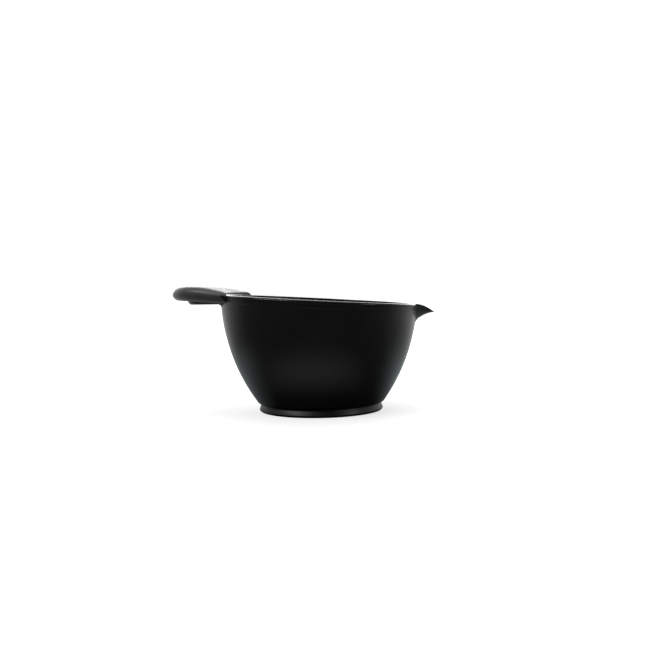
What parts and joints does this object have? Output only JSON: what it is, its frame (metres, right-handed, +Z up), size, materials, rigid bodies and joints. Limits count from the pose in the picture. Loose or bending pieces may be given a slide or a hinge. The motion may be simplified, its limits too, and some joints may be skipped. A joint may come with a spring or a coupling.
{
  "type": "hair color bowl",
  "caption": "Round mixing bowl with a sloping rim, a pouring beak, an arched lug handle under a soft grip, and a rubber ring under its foot.",
  "frame": {"origin": "on the table under the bowl's axis, at the middle of the base ring's flat underside", "axes": "+Z up along the bowl's axis, +X from the axis towards the pouring beak, so the handle points to -X"},
  "size_m": [0.1667, 0.1252, 0.0799],
  "materials": {
    "bowl": "satin",
    "base_ring": "matte",
    "handle_grip": "matte"
  },
  "bodies": {
    "root": {"bowl": "bowl", "base_ring": "base_ring", "handle_grip": "handle_grip"}
  },
  "joints": []
}
